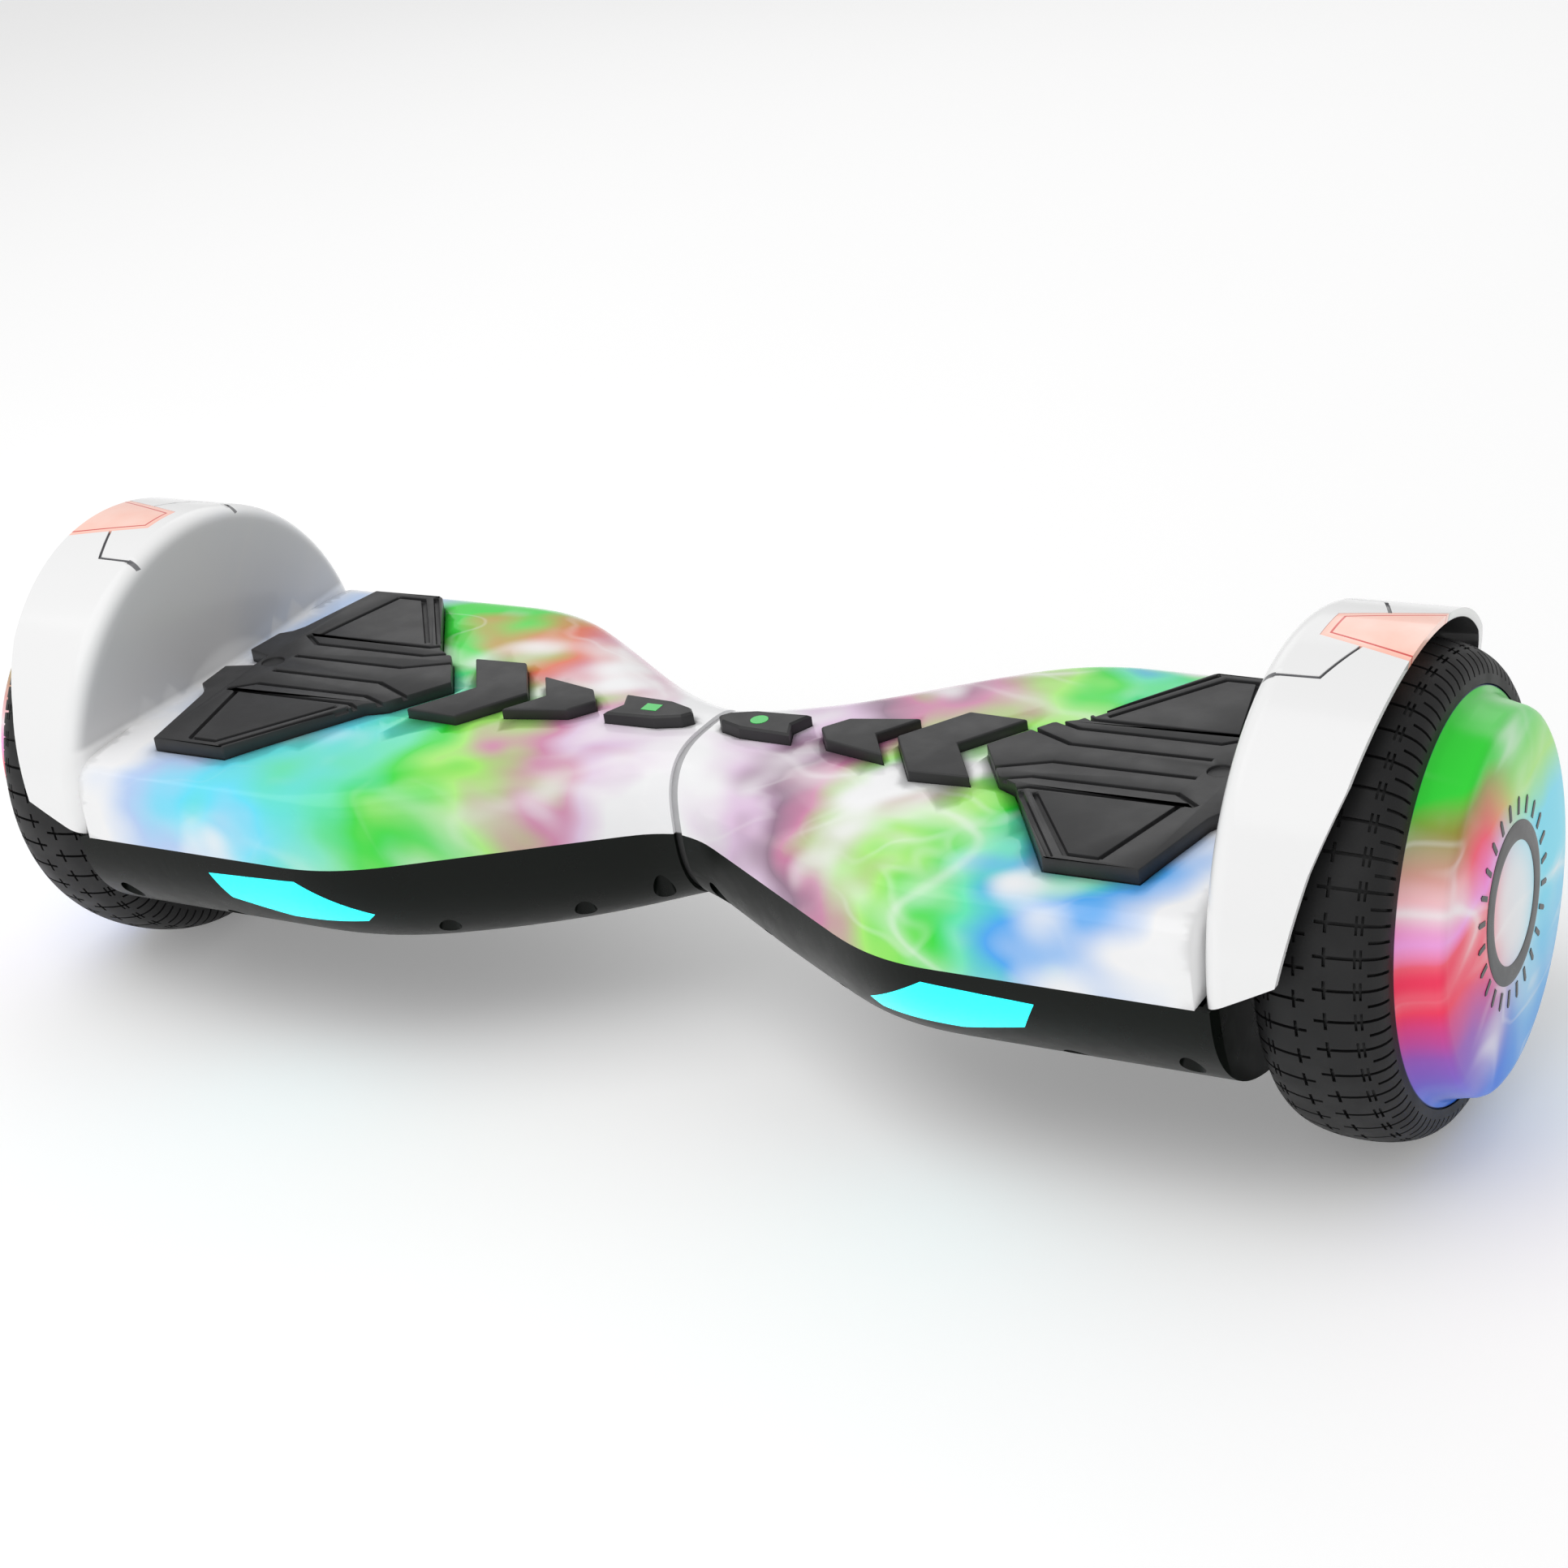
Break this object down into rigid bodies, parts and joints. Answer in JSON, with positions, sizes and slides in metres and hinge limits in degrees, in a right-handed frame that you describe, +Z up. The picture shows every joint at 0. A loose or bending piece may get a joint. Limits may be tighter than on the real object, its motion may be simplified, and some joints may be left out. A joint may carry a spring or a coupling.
{
  "type": "self balancing hoverboard",
  "caption": "Two-wheeled self balancing board: two halves on a centre pivot, a hub-motor wheel with a fender at each end, sprung rubber foot pads and front light bars.",
  "frame": {"origin": "on the floor under the middle of the board", "axes": "+X along the board to the rider's right with the light bars in front, +Y to the back, +Z up"},
  "size_m": [0.5956, 0.1848, 0.175],
  "materials": {
    "white_shell": "gloss",
    "black_shell": "gloss",
    "pad_rubber": "satin",
    "tyre_rubber": "matte",
    "cast_aluminium": "cast",
    "steel": "machined",
    "cap_print": "gloss",
    "light_lens": "clear",
    "tail_lens": "clear",
    "indicator_green": "clear",
    "circuit_board": "solder mask",
    "bronze": "sintered",
    "copper_core": "lacquered",
    "magnet": "plated",
    "battery_wrap": "shrink wrap",
    "black_plastic": "matte",
    "grey_seal": "matte"
  },
  "bodies": {
    "left_half": {"left_frame": "cast_aluminium", "left_top_shell": "white_shell", "left_bottom_shell": "black_shell", "left_chevrons": "pad_rubber", "left_indicator_pad": "pad_rubber", "left_indicator_lens": "indicator_green", "left_light_bar": "light_lens", "left_tail_lens": "tail_lens", "left_led_boards": "circuit_board", "left_axle_clamp": "cast_aluminium", "left_clamp_screws": "steel", "left_motor_axle": "steel", "left_stator": "copper_core", "left_gyro_board": "circuit_board", "left_shell_screws": "steel", "pivot_shaft": "steel", "stop_pin": "steel", "pivot_circlip": "steel", "centre_seal": "grey_seal", "battery_pack": "battery_wrap", "battery_bracket": "steel", "charge_socket": "steel", "power_switch": "black_plastic", "wire_harness": "black_plastic"},
    "right_half": {"right_frame": "cast_aluminium", "right_top_shell": "white_shell", "right_bottom_shell": "black_shell", "right_chevrons": "pad_rubber", "right_indicator_pad": "pad_rubber", "right_indicator_lens": "indicator_green", "right_light_bar": "light_lens", "right_tail_lens": "tail_lens", "right_led_boards": "circuit_board", "right_axle_clamp": "cast_aluminium", "right_clamp_screws": "steel", "right_motor_axle": "steel", "right_stator": "copper_core", "right_gyro_board": "circuit_board", "right_shell_screws": "steel", "pivot_bushes": "bronze", "control_board": "circuit_board"},
    "left_wheel": {"left_wheel_rim": "cast_aluminium", "left_magnets": "magnet", "left_motor_cover": "cast_aluminium", "left_cover_screws": "steel", "left_bearings": "steel", "left_tyre": "tyre_rubber", "left_hub_cap": "cap_print"},
    "right_wheel": {"right_wheel_rim": "cast_aluminium", "right_magnets": "magnet", "right_motor_cover": "cast_aluminium", "right_cover_screws": "steel", "right_bearings": "steel", "right_tyre": "tyre_rubber", "right_hub_cap": "cap_print"},
    "left_foot_pad": {"left_foot_pad": "pad_rubber"},
    "right_foot_pad": {"right_foot_pad": "pad_rubber"},
    "power_button": {"power_button": "black_plastic"},
    "charge_flap": {"charge_flap": "pad_rubber"}
  },
  "joints": [
    {"name": "centre_pivot", "type": "hinge", "parent": "left_half", "child": "right_half", "pos_m": [0, 0, 0.0825], "axis": [1, 0, 0], "range_deg": [-15, 15]},
    {"name": "left_wheel_spin", "type": "hinge", "parent": "left_half", "child": "left_wheel", "pos_m": [-0.26, 0, 0.0825], "axis": [1, 0, 0], "continuous": true},
    {"name": "right_wheel_spin", "type": "hinge", "parent": "right_half", "child": "right_wheel", "pos_m": [0.26, 0, 0.0825], "axis": [1, 0, 0], "continuous": true},
    {"name": "left_pad_press", "type": "slide", "parent": "left_half", "child": "left_foot_pad", "axis": [0, 0, -1], "range_m": [0, 0.0015], "stiffness_N_per_m": 4000, "springref_m": -0.0006},
    {"name": "right_pad_press", "type": "slide", "parent": "right_half", "child": "right_foot_pad", "axis": [0, 0, -1], "range_m": [0, 0.0015], "stiffness_N_per_m": 4000, "springref_m": -0.0006},
    {"name": "power_button_press", "type": "slide", "parent": "left_half", "child": "power_button", "axis": [0, -0.9455, 0.3256], "range_m": [0, 0.0012], "stiffness_N_per_m": 400, "springref_m": -0.0005},
    {"name": "charge_flap_hinge", "type": "hinge", "parent": "left_half", "child": "charge_flap", "pos_m": [-0.15, 0.09104, 0.07854], "axis": [1, 0, 0], "range_deg": [0, 100]}
  ]
}
